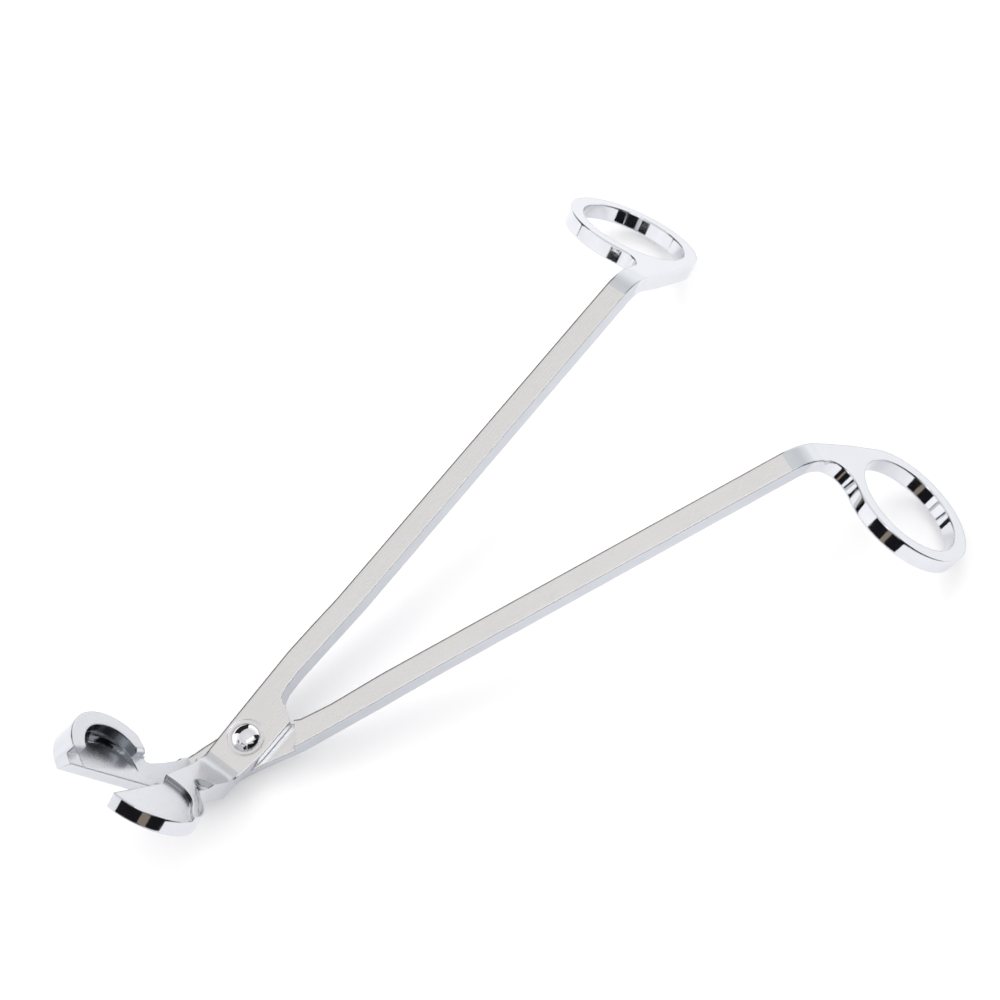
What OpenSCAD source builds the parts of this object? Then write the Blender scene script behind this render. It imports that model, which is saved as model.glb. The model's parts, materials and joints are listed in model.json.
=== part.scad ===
// Wick trimmer: scissor-type tool for trimming candle wicks.
// Two metal castings cross at one rivet. The blade half carries a
// half-disc cutting head, and the tray half carries a cup that catches
// the piece of wick. The arms drop to finger rings at the other end.
// The tool lies at rest with the arms open: +X points to the rings, +Z up.

/* [Arms] */
// Length from the rivet to the bend at the finger ring
arm_length = 120; // [105:1:135]
// Width of each straight arm
arm_width = 4.4; // [4:0.1:4.8]
// Thickness of each arm
arm_thickness = 4; // [3.8:0.1:4.4]
// Radius of the top of the bend into each ring
bend_r = 10; // [8:0.5:12]
// Angle between the two arms as the tool lies
opening = 22.6; // [6:0.2:40]

/* [Finger rings] */
// Outer diameter of each ring
ring_diameter = 28.6; // [26:0.2:30]
// Width of the band of each ring
ring_band = 2.8; // [2.4:0.1:3.4]
// Thickness of each ring
ring_thickness = 3.4; // [3:0.1:4]
// Angle by which each ring drops below its arm
ring_drop = 50.4; // [46:0.2:55]
// Distance from the bend to the centre of the ring
ring_reach = 23.5; // [23:0.5:27]

/* [Cutting head] */
// Angle by which the head rises from the arms
head_tilt = 60; // [56:0.5:64]
// Diameter of the half-disc blade
blade_diameter = 22.2; // [21.6:0.1:23]
// Diameter of the cup
cup_diameter = 21.7; // [21:0.1:22.4]
// Width of the wall around the cup
cup_wall = 3.4; // [3:0.1:3.8]
// Height of the cup from its underside to its rim
cup_height = 5.5; // [5:0.1:6]

/* [Rivet] */
// Diameter of the rivet shank
shank_diameter = 4; // [3.4:0.1:4.6]
// Diameter of the domed rivet head
dome_diameter = 5.9; // [5.6:0.1:6.6]
// Height of the domed rivet head
dome_height = 1.5; // [1.2:0.1:1.9]

/* [Hidden] */
$fn = 96;
eps = 0.01;
half_open = opening / 2;
lap_z = -arm_thickness / 2;   // the two hubs meet at half the thickness
lap_gap = 0.1;                // running gap between the two hubs
lap_r = 9.6;                  // round step around each lapped hub
shank_gap = 0.05;             // running gap around the rivet shank
crease_x = -8;                // where the head rises from the hub
crease_r = 3.6;               // radius of the valley there
blade_top = -0.9;             // step down from the neck to the blade
shear = -3.95;                // level where the blade passes the tray
rim_level = -1.9;             // top of the cup wall
cup_floor = rim_level - cup_height;
blade_c = [23.8, 0.35];       // centre of the half-disc, in the head plane
blade_edge = 0.1;             // line of the blade's cutting edge
cup_c = [23.9, -0.35];        // centre of the cup
well_c = [24.1, 0.1];         // centre of the round well in the cup
well_r = cup_diameter / 2 - cup_wall;
arm_in = -0.1;                // inner edge of the blade half's arm
tray_in = 1.95;               // inner edge of the tray half's arm
ring_y = 15;                  // centre of the blade half's ring
tray_shift = tray_in - arm_in;

// ---- how the tool lies: the tray's heel and both ring tips touch down ----
heel_x = crease_x + (cup_floor + arm_thickness * cos(head_tilt)) / sin(head_tilt);
function turn(p, a) = [p[0] * cos(a) - p[1] * sin(a),
                       p[0] * sin(a) + p[1] * cos(a), p[2]];
heel = turn([heel_x, -4.3, -arm_thickness], -half_open);
// axes of a ring: along its fall, and out of its top face
ring_e = [cos(ring_drop), 0, -sin(ring_drop)];
ring_n = [sin(ring_drop), 0, cos(ring_drop)];
// centre of a ring, side 1 is the blade half and side -1 the tray half
function ring_mid(side, h) = turn([arm_length, 0, 0] + ring_reach * ring_e
    + [0, side * (side > 0 ? ring_y : ring_y + tray_shift), 0]
    + h * ring_n, side * half_open);
// furthest reach of a ring's edge in direction d
function ring_far(side, h, d) = ring_mid(side, h) * d + ring_diameter / 2
    * norm([turn(ring_e, side * half_open) * d,
            turn([0, 1, 0], side * half_open) * d]);
function down(g) = [-sin(g), 0, -cos(g)];
function low(g) = max(ring_far(1, -ring_thickness, down(g)),
                      ring_far(-1, -ring_thickness, down(g)));
// tilt at which heel and ring tips are level, found by repeated correction
function settle(g, n) = n == 0 ? g
    : settle(g + (low(g) - heel * down(g)) / arm_length * 45, n - 1);
rest_tilt = settle(10, 30);
drop = low(rest_tilt);

// ---- outer limits of the tool as it lies, to centre it on its footprint ----
away = [cos(rest_tilt), 0, -sin(rest_tilt)];
x_max = max(ring_far(1, 0, away), ring_far(-1, 0, away));
head_e = [-cos(head_tilt), 0, sin(head_tilt)];
head_n = [sin(head_tilt), 0, cos(head_tilt)];
function cup_far(h, d) = turn([crease_x, 0, 0] + cup_c[0] * head_e
        + [0, -cup_c[1], 0] + h * head_n, -half_open) * d
    + cup_diameter / 2 * norm([turn(head_e, -half_open) * d,
                               turn([0, 1, 0], -half_open) * d]);
x_min = -max(cup_far(rim_level, -away), cup_far(cup_floor, -away));
y_max = ring_far(1, 0, [0, 1, 0]);
y_min = -ring_far(-1, 0, [0, -1, 0]);

// ---- placement ----
// the whole tool, tilted to its resting attitude and set on the ground
module lie() translate([-(x_max + x_min) / 2, -(y_max + y_min) / 2, drop])
    rotate([0, -rest_tilt, 0]) children();
// plane of the cutting head: x runs up the head, z out of its face
module head_plane() translate([crease_x, 0, 0]) rotate([0, head_tilt, 0])
    rotate([0, 0, 180]) children();
// plane of a finger ring: x runs down the ring, z out of its face
module ring_plane() translate([arm_length, 0, 0]) rotate([0, ring_drop, 0]) children();

// ---- shared shapes ----
// level slab between two heights
module slab(z0, z1) translate([0, 0, z0]) linear_extrude(height = z1 - z0) children();

// finger ring with its neck, in the ring plane; edge is the arm's inner
// edge and mid the distance of the ring's centre from the same line
module ring_outline(edge, mid) {
    r = ring_diameter / 2;
    out = edge + arm_width + 0.02;
    corner_r = 4.6;
    corner_x = ring_reach - sqrt(pow(r + corner_r, 2) - pow(mid - out - corner_r, 2));
    corner_s = corner_r / (r + corner_r);
    difference() {
        union() {
            translate([ring_reach, mid]) circle(r = r);
            // neck, running on from the arm along the inner side of the ring
            polygon([[0.5, edge + 0.02], [2.3, edge - 0.02], [10, edge - 0.02], [17, edge + 0.25], [ring_reach, mid - r],
                     [ring_reach, mid], [corner_x + corner_s * (ring_reach - corner_x),
                     out + corner_r + corner_s * (mid - out - corner_r)],
                     [corner_x, out], [2.3, out], [0.5, out - 0.04]]);
        }
        translate([ring_reach, mid]) circle(r = r - ring_band);
        // hollow corner, tangent to the neck and to the ring
        translate([corner_x, out + corner_r]) circle(r = corner_r);
    }
}

// side view turned upright and drawn out across an arm from y0 to y1
module side_view(y0, y1) translate([0, y1, 0]) rotate([90, 0, 0])
    linear_extrude(height = y1 - y0) children();

// what is taken off the top of an arm to round its bend
module bend_round() side_view(-12, 30) difference() {
    t = bend_r * tan(ring_drop / 2);
    polygon([[arm_length - t, -bend_r], [arm_length - t, 4], [arm_length + 4, 4],
             [arm_length - t + (bend_r + 4) * sin(ring_drop),
              -bend_r + (bend_r + 4) * cos(ring_drop)]]);
    translate([arm_length - t, -bend_r]) circle(r = bend_r + 0.01);
}

// fillet under the bend, between the undersides of the arm and of the ring
module bend_fill(edge) {
    t = (bend_r - arm_thickness) * tan(ring_drop / 2);
    k = [arm_length + (arm_thickness - ring_thickness * cos(ring_drop)) / tan(ring_drop)
         - ring_thickness * sin(ring_drop), -arm_thickness];
    side_view(edge + 0.01, edge + arm_width - 0.01) difference() {
        polygon([k + [-t - 0.2, 0.4], k + [0.8, 1.6],
                 k + [t * cos(ring_drop) + 0.5, 0.4 - t * sin(ring_drop)],
                 k + [t * cos(ring_drop) + 0.2, -0.2 - t * sin(ring_drop)]]);
        translate(k + [-t, arm_thickness - bend_r]) circle(r = bend_r - arm_thickness + 0.01);
    }
}

// flat casting of an arm and its hub, ended by the plane of the ring's top
module arm() difference() {
    slab(-arm_thickness, 0) children();
    ring_plane() translate([-3, -10, 0]) cube([20, 30, 20]);
}

// arm with its hub, bend and ring; edge is the arm's inner edge
module handle(edge, mid) difference() {
    union() {
        arm() children();
        finger_ring(edge, mid);
        bend_fill(edge);
    }
    bend_round();
}

module finger_ring(edge, mid) ring_plane()
    slab(-ring_thickness, 0) ring_outline(edge, mid);

// ---- blade half, shown closed with its arm along +X ----
module blade_arm_outline() polygon([
    [arm_length + 1.5, arm_in + arm_width], [32, arm_in + arm_width], [25, arm_in + arm_width + 0.3],
    [18, arm_in + arm_width + 0.5], [8.6, 4.5], [1, 4.3], [-6, 4], [-13, 3.6],
    [-13, -3.4], [-8.4, -3.78], [-6, -4.3], [-1, -4.9], [7.3, -4.9], [7.8, -4.2],
    [10, -0.3], [12, 0.3], [16, 0.5], [22, 0.3], [34, arm_in], [arm_length + 1.5, arm_in]]);

// neck and half disc, in the head plane
module blade_head_outline() {
    intersection() {
        translate(blade_c) circle(d = blade_diameter);
        translate([10, blade_edge]) square([30, 20]);
    }
    polygon([[-6, -3.9], [0, -4], [6.3, -2.6], [12.6, -1.7], [17.2, -1], [19.6, blade_edge],
             [24, 2], [20, 8], [13.6, 5.6], [12.4, 4.4], [11, 4], [4, 4], [-6, 3.8]]);
}

// sunken face of the blade: the round of the well, running out to the edge
module blade_step_outline() {
    translate([24.3, 1.3]) circle(r = well_r + 0.55);
    polygon([[20.4, 8.2], [22.4, 9.6], [25.4, 12.5], [40, 12.5], [40, -2], [24, -2]]);
}

// profile of everything under the cone that the neck's underside follows
cone_r = -crease_x - (shear - lap_z * cos(head_tilt)) / sin(head_tilt);
function under_cone() = [[0, lap_z - 20], [0, lap_z], [cone_r, lap_z],
    [40, lap_z + (40 - cone_r) * tan(head_tilt)], [40, lap_z - 20]];

// hollow fillet in the valley between the hub and the neck
module crease_fill() {
    t = crease_r * tan(head_tilt / 2);
    up = [-cos(head_tilt), sin(head_tilt)];
    side_view(-3.84, 3.86) difference() {
        polygon([[crease_x + t + 0.4, -0.1], [crease_x + t + 0.4, -0.5], [crease_x, -1],
                 [crease_x, 0] + (t + 0.4) * up + [-0.5, -0.3],
                 [crease_x, 0] + (t + 0.4) * up + [-0.05, -0.03]]);
        translate([crease_x + t, crease_r]) circle(r = crease_r + 0.01);
    }
}

module blade_half_closed() difference() {
    union() {
        crease_fill();
        handle(arm_in, ring_y) blade_arm_outline();
        intersection() {
            head_plane() slab(shear - 0.4, 0) blade_head_outline();
            translate([-60, -30, lap_z]) cube([80, 60, 60]);
        }
    }
    // lapped hub: the lower half of the thickness is the other casting's
    translate([0, 0, -arm_thickness - 1]) cylinder(r = lap_r, h = arm_thickness + 1 + lap_z);
    translate([-30, -15, -arm_thickness - 1]) cube([30, 30, arm_thickness + 1 + lap_z]);
    // flat underside of the blade
    head_plane() translate([-12, -20, shear - 20]) cube([60, 40, 20]);
    // the neck's underside sweeps over the other neck as a cone about the rivet
    intersection() {
        rotate_extrude() polygon(under_cone());
        translate([-40, eps, -20]) cube([40, 20, 60]);
    }
    // sunken face of the blade
    head_plane() slab(blade_top, 6) intersection() {
        blade_step_outline();
        translate([12, -1.8]) square([30, 20]);
    }
    // sloping back of the rim behind the blade
    head_plane() translate([14, 4.3, 0]) rotate([0, 0, 39]) rotate([-22, 0, 0])
        translate([-1.5, 0, 0]) cube([13, 8, 4]);
    // shallow scoop in the near side of the neck
    head_plane() translate([9.7, 4.5, 4.3]) sphere(r = 5.2);
    // spot face under the rivet head, and the rivet hole
    translate([0, 0, -0.2]) cylinder(d = dome_diameter + 1.3, h = 1);
    translate([0, 0, -arm_thickness]) cylinder(d = shank_diameter + 2 * shank_gap,
                                               h = arm_thickness + 1);
}

// ---- tray half, drawn as a mirror image with its arm towards +Y ----
module tray_arm_outline() polygon([
    [arm_length + 1.5, tray_in + arm_width], [38, tray_in + arm_width], [25, 6.6], [8.4, 6.7],
    [4.4, 6.3], [0.7, 5.9], [-7, 5.5], [-9, 5], [-12, 4.4], [-16, 4.3], [-16, -2.3],
    [-12, -2.7], [-8, -3.2], [-4, -3.5], [5, -3.5], [7, -1.6], [8.9, 1.4], [10.6, 2.2],
    [17, 2.5], [28, 2.1], [43, tray_in], [arm_length + 1.5, tray_in]]);

// neck and plate of the tray, in the head plane
module tray_plate_outline() {
    difference() {
        translate(cup_c) circle(d = cup_diameter);
        // oblique cutting edge
        polygon([[10, -14], [40, -14], [40, 0.6], [35.3, -0.4], [21.1, -3.4], [10, -5.8]]);
    }
    polygon([[-9, 3.6], [-6, 3.6], [-2.7, 3.3], [1, 2.7], [4.5, 1.8], [7.7, 1.3], [10.4, 1],
             [12.3, 0.9], [13.4, 1.3], [14.4, 2], [20, 6], [24, 0], [21.1, -3.4], [19.6, -3.6],
             [10, -4], [0.7, -4.4], [-9, -4.4]]);
}

// wall of the cup: a C open towards the blade
module cup_wall_outline() difference() {
    translate(cup_c) circle(d = cup_diameter);
    translate(well_c) circle(r = well_r);
    translate([10, -18]) square([30, 20]);
}

module tray_half_closed() difference() {
    union() {
        difference() {
            union() {
                difference() {
                    handle(tray_in, ring_y + tray_shift) tray_arm_outline();
                    head_plane() translate([-12, -20, cup_floor - 20]) cube([60, 40, 20]);
                }
                intersection() {
                    head_plane() slab(cup_floor, shear + 1) tray_plate_outline();
                    translate([-60, -30, -arm_thickness]) cube([60, 60, 60]);
                }
            }
            // lapped hub: the upper half of the thickness is the other casting's
            translate([0, 0, lap_z - lap_gap]) cylinder(r = lap_r, h = 10);
            // top of the neck and of the plate
            intersection() {
                translate([-60, -30, lap_z - lap_gap]) cube([60, 60, 60]);
                head_plane() translate([-20, -20, shear - lap_gap]) cube([70, 40, 20]);
            }
        }
        // wall around the cup
        head_plane() slab(cup_floor, rim_level) cup_wall_outline();
    }
    // floor of the well, dished towards the wall, with a round foot to the wall
    head_plane() intersection() {
        translate([well_c[0], well_c[1], 0]) rotate_extrude() union() {
            translate([0, -3.5]) square([well_r, 5.5]);
            translate([0, -5.7]) square([well_r - 2.2, 4]);
            translate([well_r - 2.2, -3.5]) circle(r = 2.2);
        }
        translate([10, -1.4, shear - lap_gap]) rotate([-12, 0, 0]) cube([30, 20, 10]);
    }
    // end of the wall at the neck: cut back, then a ramp down to the floor
    head_plane() intersection() {
        translate([0, 2.7, rim_level]) rotate([-48, 0, 0]) translate([10, -10, -6]) cube([12, 10, 12]);
        translate([10, -2, shear - lap_gap]) cube([12, 10, 8]);
    }
    head_plane() translate([14.75, -2, rim_level]) rotate([0, 27, 0])
        translate([-4, 0, -2.25]) cube([4, 8.5, 6]);
    // side of the tray relieved below the cutting edge
    head_plane() translate([21.1, -3.36, shear - lap_gap]) rotate([0, 0, 12]) rotate([20, 0, 0])
        translate([-13, -10, -10]) cube([40, 10, 12]);
    // rivet hole
    translate([0, 0, -arm_thickness - 1]) cylinder(d = shank_diameter, h = arm_thickness + 2);
}

// ---- the pieces as they lie ----
module blade_half() color([0.80, 0.81, 0.83]) lie()
    rotate([0, 0, half_open]) blade_half_closed();

module tray_half() color([0.66, 0.69, 0.74]) lie()
    rotate([0, 0, -half_open]) mirror([0, 1, 0]) tray_half_closed();

// shank, domed head and peened tail
module pivot_rivet() color([0.88, 0.88, 0.90]) lie() {
    ball_r = (pow(dome_diameter / 2, 2) + pow(dome_height, 2)) / (2 * dome_height);
    translate([0, 0, -arm_thickness]) cylinder(d = shank_diameter, h = arm_thickness - 0.1);
    translate([0, 0, -0.15]) intersection() {
        translate([0, 0, dome_height - ball_r]) sphere(r = ball_r);
        cylinder(r = dome_diameter, h = 10);
    }
    translate([0, 0, -arm_thickness - 0.5]) cylinder(d1 = 4.4, d2 = 5.2, h = 0.5);
}

blade_half();
tray_half();
pivot_rivet();
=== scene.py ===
import json
import math

import bpy
import bmesh
from mathutils import Matrix, Vector


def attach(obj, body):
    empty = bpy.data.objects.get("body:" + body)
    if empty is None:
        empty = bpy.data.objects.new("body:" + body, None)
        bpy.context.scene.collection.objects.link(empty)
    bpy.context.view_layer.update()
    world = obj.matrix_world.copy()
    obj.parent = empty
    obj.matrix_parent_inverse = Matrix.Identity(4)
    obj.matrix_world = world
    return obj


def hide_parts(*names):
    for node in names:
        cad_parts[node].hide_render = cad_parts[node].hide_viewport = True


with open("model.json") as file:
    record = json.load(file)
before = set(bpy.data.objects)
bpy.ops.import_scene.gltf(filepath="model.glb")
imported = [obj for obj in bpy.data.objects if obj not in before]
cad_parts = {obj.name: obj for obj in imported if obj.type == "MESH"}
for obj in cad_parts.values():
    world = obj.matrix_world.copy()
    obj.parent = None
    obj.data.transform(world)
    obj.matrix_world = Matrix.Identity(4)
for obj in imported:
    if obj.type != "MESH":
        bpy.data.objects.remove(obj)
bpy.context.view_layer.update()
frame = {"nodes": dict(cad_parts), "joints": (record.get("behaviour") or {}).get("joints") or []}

# ------------------------------------------------------------------ the object's own directions
joint = frame["joints"][0]
PIVOT = Vector(joint["pos_m"])
AX = Vector(joint["axis"]).normalized()          # out of the top of the arms
TILT = math.atan2(-AX.x, AX.z)                   # how the tool leans as it lies
LONG = Vector((AX.z, 0, -AX.x)).normalized()     # from the rivet to the rings, midway between the arms
WIDE = AX.cross(LONG).normalized()               # towards the blade half's arm
HALF = math.radians(11.3)
TOP = 0.002                                      # from the joint's point to the top of the arms
ORIGIN = PIVOT + AX * TOP
DROP = math.radians(50.4)
HEAD = math.radians(60)
ARM_LEN, REACH, RING_R, BAND, RING_T = 0.120, 0.0235, 0.0143, 0.0028, 0.0034


def swing(v, side):
    """Turns a direction given for the closed tool to a half's place; side 1 is the blade half."""
    return Matrix.Rotation(side * HALF, 3, AX) @ v


def half_axes(side):
    along = swing(LONG, side)
    across = AX.cross(along).normalized()
    ring_n = (math.sin(DROP) * along + math.cos(DROP) * AX).normalized()
    ring_e = (math.cos(DROP) * along - math.sin(DROP) * AX).normalized()
    head_n = (math.sin(HEAD) * along + math.cos(HEAD) * AX).normalized()
    head_e = (-math.cos(HEAD) * along + math.sin(HEAD) * AX).normalized()
    return along, across, ring_n, ring_e, head_n, head_e


# ------------------------------------------------------------------ materials
def nodes_of(name):
    m = bpy.data.materials.new(name)
    m.use_nodes = True
    nt = m.node_tree
    return m, nt, nt.nodes, nt.links, nt.nodes["Principled BSDF"]


def add(nodes, kind, **props):
    n = nodes.new(kind)
    for k, v in props.items():
        setattr(n, k, v)
    return n


def soft_edge(nodes, links, bump, radius=0.0006):
    """The edges of the castings are slightly rounded."""
    edge = add(nodes, "ShaderNodeBevel", samples=10)
    edge.inputs["Radius"].default_value = radius
    links.new(edge.outputs["Normal"], bump.inputs["Normal"])


def mirror_metal(name, u, v, tone=(0.80, 0.81, 0.83), rough=(0.03, 0.08), line=0.00002, peel_d=0.00001):
    """Buffed chrome: very smooth, with faint orange peel, and the fine die lines that cross a
    side wall from edge to edge. u and v are the directions in the plane of the wall's outline."""
    m, nt, nodes, links, b = nodes_of(name)
    b.inputs["Metallic"].default_value = 1.0
    coord = add(nodes, "ShaderNodeTexCoord")
    haze = add(nodes, "ShaderNodeTexNoise")
    haze.inputs["Scale"].default_value = 220
    haze.inputs["Detail"].default_value = 5
    haze.inputs["Roughness"].default_value = 0.6
    links.new(coord.outputs["Object"], haze.inputs["Vector"])
    ramp = add(nodes, "ShaderNodeMapRange")
    ramp.inputs["From Min"].default_value = 0.4
    ramp.inputs["From Max"].default_value = 0.75
    ramp.inputs["To Min"].default_value = rough[0]
    ramp.inputs["To Max"].default_value = rough[1]
    links.new(haze.outputs["Fac"], ramp.inputs["Value"])
    links.new(ramp.outputs["Result"], b.inputs["Roughness"])
    tint = add(nodes, "ShaderNodeValToRGB")
    tint.color_ramp.elements[0].position = 0.3
    tint.color_ramp.elements[0].color = (tone[0] * 0.94, tone[1] * 0.94, tone[2] * 0.96, 1)
    tint.color_ramp.elements[1].position = 0.7
    tint.color_ramp.elements[1].color = (*tone, 1)
    links.new(haze.outputs["Fac"], tint.inputs["Fac"])
    links.new(tint.outputs["Color"], b.inputs["Base Color"])
    # die lines: no change in the direction across the wall, so the noise draws lines
    comb = add(nodes, "ShaderNodeCombineXYZ")
    for k, d in enumerate((u, v)):
        dot = add(nodes, "ShaderNodeVectorMath", operation="DOT_PRODUCT")
        links.new(coord.outputs["Object"], dot.inputs[0])
        dot.inputs[1].default_value = tuple(d)
        links.new(dot.outputs["Value"], comb.inputs[k])
    lines = add(nodes, "ShaderNodeTexNoise")
    lines.inputs["Scale"].default_value = 620
    lines.inputs["Detail"].default_value = 3
    lines.inputs["Roughness"].default_value = 0.5
    links.new(comb.outputs["Vector"], lines.inputs["Vector"])
    bump = add(nodes, "ShaderNodeBump")
    bump.inputs["Strength"].default_value = 1.0
    bump.inputs["Distance"].default_value = line
    soft_edge(nodes, links, bump)
    links.new(lines.outputs["Fac"], bump.inputs["Height"])
    peel = add(nodes, "ShaderNodeTexNoise")
    peel.inputs["Scale"].default_value = 380
    peel.inputs["Detail"].default_value = 2
    links.new(coord.outputs["Object"], peel.inputs["Vector"])
    bump2 = add(nodes, "ShaderNodeBump")
    bump2.inputs["Strength"].default_value = 1.0
    bump2.inputs["Distance"].default_value = peel_d
    links.new(peel.outputs["Fac"], bump2.inputs["Height"])
    links.new(bump.outputs["Normal"], bump2.inputs["Normal"])
    links.new(bump2.outputs["Normal"], b.inputs["Normal"])
    return m


def brushed_metal(name, along, across, up, tone, rough=(0.22, 0.34), grain=1.0, depth=0.000008, dark=0.92):
    """Satin chrome with fine scratches running in direction `along`."""
    m, nt, nodes, links, b = nodes_of(name)
    b.inputs["Metallic"].default_value = 1.0
    coord = add(nodes, "ShaderNodeTexCoord")
    # the surface point in (along, across, up) coordinates
    comb = add(nodes, "ShaderNodeCombineXYZ")
    for i, d in enumerate((along, across, up)):
        dot = add(nodes, "ShaderNodeVectorMath", operation="DOT_PRODUCT")
        links.new(coord.outputs["Object"], dot.inputs[0])
        dot.inputs[1].default_value = tuple(d)
        links.new(dot.outputs["Value"], comb.inputs[i])
    stretch = add(nodes, "ShaderNodeVectorMath", operation="MULTIPLY")
    stretch.inputs[1].default_value = (180 * grain, 5200, 900)
    links.new(comb.outputs["Vector"], stretch.inputs[0])
    scratch = add(nodes, "ShaderNodeTexNoise")
    scratch.inputs["Scale"].default_value = 1.0
    scratch.inputs["Detail"].default_value = 4
    scratch.inputs["Roughness"].default_value = 0.6
    links.new(stretch.outputs["Vector"], scratch.inputs["Vector"])
    # broad cloudy wear
    cloud = add(nodes, "ShaderNodeTexNoise")
    cloud.inputs["Scale"].default_value = 130
    cloud.inputs["Detail"].default_value = 4
    links.new(coord.outputs["Object"], cloud.inputs["Vector"])
    mix = add(nodes, "ShaderNodeMath", operation="MULTIPLY_ADD")
    links.new(scratch.outputs["Fac"], mix.inputs[0])
    mix.inputs[1].default_value = 0.6
    half = add(nodes, "ShaderNodeMath", operation="MULTIPLY")
    links.new(cloud.outputs["Fac"], half.inputs[0])
    half.inputs[1].default_value = 0.4
    links.new(half.outputs["Value"], mix.inputs[2])
    rr = add(nodes, "ShaderNodeMapRange")
    rr.inputs["From Min"].default_value = 0.3
    rr.inputs["From Max"].default_value = 0.7
    rr.inputs["To Min"].default_value = rough[0]
    rr.inputs["To Max"].default_value = rough[1]
    links.new(mix.outputs["Value"], rr.inputs["Value"])
    links.new(rr.outputs["Result"], b.inputs["Roughness"])
    tint = add(nodes, "ShaderNodeValToRGB")
    tint.color_ramp.elements[0].position = 0.32
    tint.color_ramp.elements[0].color = (tone[0] * dark, tone[1] * dark, tone[2] * dark, 1)
    tint.color_ramp.elements[1].position = 0.66
    tint.color_ramp.elements[1].color = (*tone, 1)
    links.new(mix.outputs["Value"], tint.inputs["Fac"])
    links.new(tint.outputs["Color"], b.inputs["Base Color"])
    bump = add(nodes, "ShaderNodeBump")
    bump.inputs["Strength"].default_value = 0.6
    bump.inputs["Distance"].default_value = depth
    soft_edge(nodes, links, bump)
    links.new(scratch.outputs["Fac"], bump.inputs["Height"])
    links.new(bump.outputs["Normal"], b.inputs["Normal"])
    return m


# ------------------------------------------------------------------ pieces
def copy_mesh(node, name):
    src = frame["nodes"][node]
    me = src.data.copy()
    me.name = name
    ob = bpy.data.objects.new(name, me)
    bpy.context.scene.collection.objects.link(ob)
    me.materials.clear()
    bm = bmesh.new()
    bm.from_mesh(me)
    bmesh.ops.remove_doubles(bm, verts=bm.verts, dist=2.5e-5)
    bmesh.ops.dissolve_degenerate(bm, edges=bm.edges, dist=5e-6)
    bmesh.ops.dissolve_limit(bm, angle_limit=math.radians(0.6), verts=bm.verts, edges=bm.edges,
                             use_dissolve_boundaries=False)
    bm.to_mesh(me)
    bm.free()
    return ob


def region(c, along):
    """0 arm and hub, 1 bend and ring, 2 head, for a point of a half."""
    x, z = (c - ORIGIN).dot(along), (c - ORIGIN).dot(AX)
    return 1 if x > ARM_LEN - 0.0046 else 2 if x - z * math.tan(HEAD / 2) < -0.0080 else 0


def bevelled(ob, width, segments=3, angle=28):
    mod = ob.modifiers.new("edge", "BEVEL")
    mod.width = width
    mod.segments = segments
    mod.limit_method = "ANGLE"
    mod.angle_limit = math.radians(angle)
    mod.use_clamp_overlap = True
    mod.harden_normals = False
    mod.miter_outer = "MITER_ARC"
    dg = bpy.context.evaluated_depsgraph_get()
    me = bpy.data.meshes.new_from_object(ob.evaluated_get(dg))
    ob.modifiers.clear()
    ob.data = me
    return ob


def smooth(ob, angle=32):
    for p in ob.data.polygons:
        p.use_smooth = True
    ob.data.set_sharp_from_angle(angle=math.radians(angle))
    mod = ob.modifiers.new("flat faces stay flat", "WEIGHTED_NORMAL")
    mod.mode = "FACE_AREA"
    mod.weight = 100
    mod.keep_sharp = True
    dg = bpy.context.evaluated_depsgraph_get()
    me = bpy.data.meshes.new_from_object(ob.evaluated_get(dg))
    ob.modifiers.clear()
    ob.data = me


def facing(p, mid, head_n, side):
    """Whether a face is part of the round wall of the cup, or of the step in the blade. These faces get the darker
    metal tone that paints a dark reflection.
    """
    c = p.center - mid
    h = c.dot(head_n)
    c = c - h * head_n
    lo, hi, r0, r1 = (-0.0057, -0.0017, 0.0055, 0.0078) if side < 0 else (-0.00095, 0.0001, 0.0070, 0.0090)
    return lo < h < hi and r0 < c.length < r1 and c.normalized().dot(p.normal) < -0.35


def paint(ob, side, mats):
    """mats: satin arm, ring and head tops, then polished arm, ring and head sides, then a darker metal tone
    that paints dark reflection into the cup wall, the blade's step and its scoop. Each face takes one
    by where it is and by the direction it looks in."""
    along, across, ring_n, ring_e, head_n, head_e = half_axes(side)
    for m in mats:
        ob.data.materials.append(m)
    root = ORIGIN - 0.008 * along
    well = root + 0.0241 * head_e + 0.0001 * across
    step = root + 0.0243 * head_e - 0.0013 * across
    scoop = root + 0.0097 * head_e - 0.0045 * across + 0.0043 * head_n
    for p in ob.data.polygons:
        n = p.normal
        c = p.center - ORIGIN
        x = c.dot(along)
        where = region(p.center, along)
        if n.dot((AX, ring_n, head_n)[where]) > (0.994, 0.994, 0.972)[where] or (where < 2 and x > 0.1 and n.dot(AX) > 0.6 and n.dot(ring_n) > 0.6):
            p.material_index = where
        elif -0.0125 < x < -0.005 and abs(n.dot(across)) < 0.08 and n.dot(AX) > 0.45 and c.dot(AX) > -0.0005:
            p.material_index = 2
        # painted dark reflection: the cup wall, the blade's step and the scoop get the darker metal tone
        elif where == 2 and facing(p, well if side < 0 else step, head_n, side):
            p.material_index = 6
        elif side > 0 and abs((p.center - scoop).length - 0.0052) < 0.00008:
            p.material_index = 6
        else:
            p.material_index = 3 + where


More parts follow.
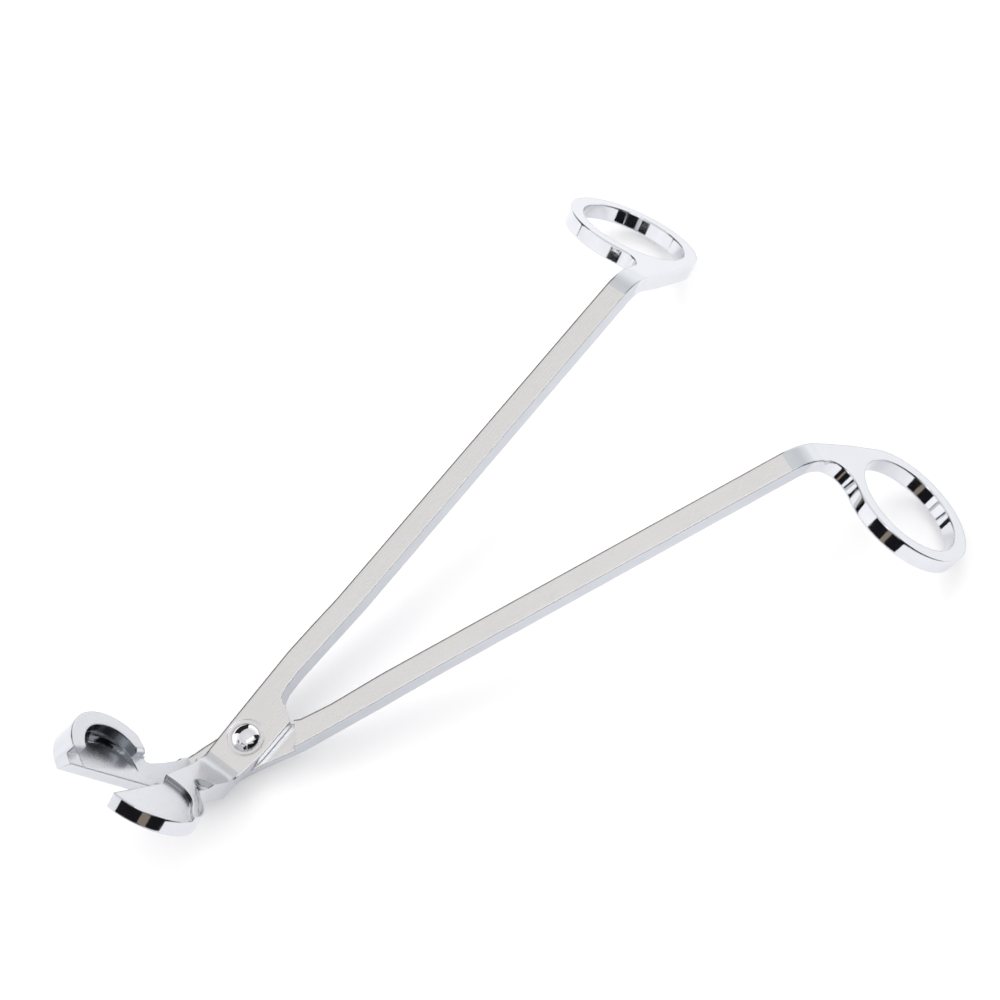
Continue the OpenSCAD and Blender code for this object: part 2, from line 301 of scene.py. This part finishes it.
halves = {}
for side, node, name in ((1, "blade_half", "blade_casting"), (-1, "tray_half", "tray_casting")):
    along, across, ring_n, ring_e, head_n, head_e = half_axes(side)
    ob = copy_mesh(node, name)
    bevelled(ob, 0.00034)
    smooth(ob)
    paint(ob, side, (
        brushed_metal(f"satin_arm_{name}", along, across, AX, (0.825, 0.81, 0.805), depth=0.000004, dark=0.945),
        brushed_metal(f"satin_ring_{name}", ring_e, across, ring_n, (0.68, 0.70, 0.735), grain=12,
                      rough=(0.16, 0.22), depth=0.000001, dark=0.975),
        brushed_metal(f"satin_head_{name}", head_e, across, head_n, (0.67, 0.68, 0.71), grain=12,
                      rough=(0.24, 0.34), depth=0.000003, dark=0.93),
        mirror_metal(f"polished_arm_{name}", along, across, tone=(0.62, 0.645, 0.68), rough=(0.06, 0.14),
                     line=0.000004),
        mirror_metal(f"polished_ring_{name}", ring_e, across, tone=(0.74, 0.75, 0.78)),
        mirror_metal(f"polished_head_{name}", head_e, across, tone=(0.68, 0.695, 0.73), rough=(0.04, 0.10)),
        # painted dark reflection: a darker metal tone for the cup wall, the blade's step and the scoop
        mirror_metal(f"painted_dark_reflection_{name}", head_e, across, tone=(0.32, 0.34, 0.36) if side > 0 else (0.17, 0.185, 0.20),
                     rough=(0.06, 0.16), line=0.00009),
    ))
    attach(ob, "blade_side" if side > 0 else "tray_side")
    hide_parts(node)
    halves[side] = ob

rivet = copy_mesh("pivot_rivet", "rivet")
bevelled(rivet, 0.0001, 2)
smooth(rivet, 40)
rivet.data.materials.append(mirror_metal("polished_rivet", LONG, WIDE, tone=(0.86, 0.86, 0.88),
                                         rough=(0.02, 0.06), line=0.000002, peel_d=0.000004))
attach(rivet, "tray_side")
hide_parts("pivot_rivet")

# ------------------------------------------------------------------ floor
bm = bmesh.new()
bmesh.ops.create_grid(bm, x_segments=8, y_segments=8, size=1.6)
me = bpy.data.meshes.new("floor")
bm.to_mesh(me)
bm.free()
floor = bpy.data.objects.new("floor", me)
bpy.context.scene.collection.objects.link(floor)
fm, nt, nodes, links, b = nodes_of("pale_floor")
b.inputs["Base Color"].default_value = (0.93, 0.925, 0.93, 1)
b.inputs["Roughness"].default_value = 0.9
b.inputs["Specular IOR Level"].default_value = 0.05
b.inputs["Emission Color"].default_value = (1, 0.985, 0.99, 1)
b.inputs["Emission Strength"].default_value = 0.11
floor.data.materials.append(fm)

# ------------------------------------------------------------------ camera
# where the viewer stands, in the frame of the arms: x to the rings, z out of their top
AZ, EL, ROLL = math.radians(-22.226), math.radians(64.247), math.radians(18.811)
FOC, TX, TY, DIST = 2989.5, -0.0481247, 0.0448235, 0.565307
to_row = Matrix((LONG, WIDE, AX)).transposed()       # columns are the arm frame's axes
back = Vector((math.sin(AZ) * math.cos(EL), -math.cos(AZ) * math.cos(EL), math.sin(EL)))
fwd = -back
right = fwd.cross(Vector((0, 0, 1))).normalized()
down = fwd.cross(right)
r2 = math.cos(ROLL) * right + math.sin(ROLL) * down
d2 = -math.sin(ROLL) * right + math.cos(ROLL) * down
pos = -(r2 * TX + d2 * TY + fwd * DIST)
R = Matrix((to_row @ r2, to_row @ -d2, to_row @ back)).transposed().to_4x4()
cam_data = bpy.data.cameras.new("camera")
cam_data.sensor_width = 36
cam_data.sensor_fit = "HORIZONTAL"
cam_data.lens = FOC / 1000 * 36
cam_data.clip_start = 0.01
cam_data.clip_end = 20
cam = bpy.data.objects.new("camera", cam_data)
bpy.context.scene.collection.objects.link(cam)
cam.matrix_world = Matrix.Translation(ORIGIN + to_row @ pos) @ R
bpy.context.scene.camera = cam

# ------------------------------------------------------------------ light
world = bpy.data.worlds.new("studio")
bpy.context.scene.world = world
world.use_nodes = True
wn, wl = world.node_tree.nodes, world.node_tree.links
wn.clear()
out = wn.new("ShaderNodeOutputWorld")
bg = wn.new("ShaderNodeBackground")
sky = wn.new("ShaderNodeTexCoord")
sep = wn.new("ShaderNodeSeparateXYZ")
wl.new(sky.outputs["Generated"], sep.inputs["Vector"])
ramp = wn.new("ShaderNodeValToRGB")
stops = ((0.0, 1.2), (0.3, 1.3), (0.5, 1.1), (0.72, 0.82), (0.9, 0.90), (1.0, 0.95))
ramp.color_ramp.elements[0].position = stops[0][0]
ramp.color_ramp.elements[0].color = (stops[0][1],) * 3 + (1,)
ramp.color_ramp.elements[1].position = stops[-1][0]
ramp.color_ramp.elements[1].color = (stops[-1][1],) * 3 + (1,)
for at, val in stops[1:-1]:
    e = ramp.color_ramp.elements.new(at)
    e.color = (val, val, val, 1)
wl.new(sep.outputs["Z"], ramp.inputs["Fac"])
wl.new(ramp.outputs["Color"], bg.inputs["Color"])
bg.inputs["Strength"].default_value = 0.95
wl.new(bg.outputs["Background"], out.inputs["Surface"])


def area(name, loc, aim, size, power, color=(1, 1, 1)):
    """Soft light for the floor; the polished metal sees the white room instead."""
    d = bpy.data.lights.new(name, "AREA")
    d.shape = "RECTANGLE"
    d.size, d.size_y = size
    d.energy = power
    d.color = color
    o = bpy.data.objects.new(name, d)
    bpy.context.scene.collection.objects.link(o)
    o.location = loc
    o.rotation_euler = (Vector(aim) - Vector(loc)).to_track_quat("-Z", "Y").to_euler()
    o.visible_glossy = False
    return o


area("softbox_left", (-0.7, 0.5, 1.0), (0, 0, 0), (0.8, 0.8), 3.2)
area("softbox_right", (0.7, 0.6, 1.0), (0, 0, 0), (0.8, 0.8), 3.2)


def card(name, a, b, z0, z1, tone):
    """Upright studio card from a to b, which only the polished metal sees."""
    me = bpy.data.meshes.new(name)
    me.from_pydata([(*a, z0), (*b, z0), (*b, z1), (*a, z1)], [], [(0, 1, 2, 3)])
    o = bpy.data.objects.new(name, me)
    bpy.context.scene.collection.objects.link(o)
    m = bpy.data.materials.new(name)
    m.use_nodes = True
    n = m.node_tree.nodes
    n.clear()
    em = n.new("ShaderNodeEmission")
    em.inputs["Color"].default_value = (*tone, 1)
    em.inputs["Strength"].default_value = 1.0
    o2 = n.new("ShaderNodeOutputMaterial")
    m.node_tree.links.new(em.outputs["Emission"], o2.inputs["Surface"])
    me.materials.append(m)
    o.visible_camera = False
    o.visible_diffuse = False
    o.visible_shadow = False
    o.visible_transmission = False
    return o


# the dark end of the room, on the viewer's side of the white table
card("flag_dark_a", (-0.19, -0.005), (-0.17, -0.15), -0.02, 0.13, (0.010, 0.010, 0.012))
card("flag_dark_b", (-0.17, -0.15), (0.0, -0.25), -0.02, 0.20, (0.010, 0.010, 0.012))
card("flag_dark_c", (0.0, -0.25), (0.25, -0.27), -0.02, 0.30, (0.012, 0.012, 0.014))
card("flag_dark_d", (0.22, -0.27), (0.36, -0.10), -0.02, 0.50, (0.03, 0.03, 0.035))
card("flag_far", (0.24, 0.36), (-0.19, 0.36), -0.02, 0.32, (0.02, 0.02, 0.022))
# a bright strip high on the same side, for the white line along the near edges
card("strip", (-0.30, -0.22), (0.30, -0.24), 0.42, 0.75, (2.4, 2.4, 2.45))
card("flag_hand", (-0.193, -0.092), (-0.152, -0.136), 0.0, 0.125, (0.30, 0.25, 0.20))

scene = bpy.context.scene
scene.view_settings.view_transform = "Standard"
scene.view_settings.look = "None"
scene.view_settings.exposure = 0
scene.view_settings.gamma = 1
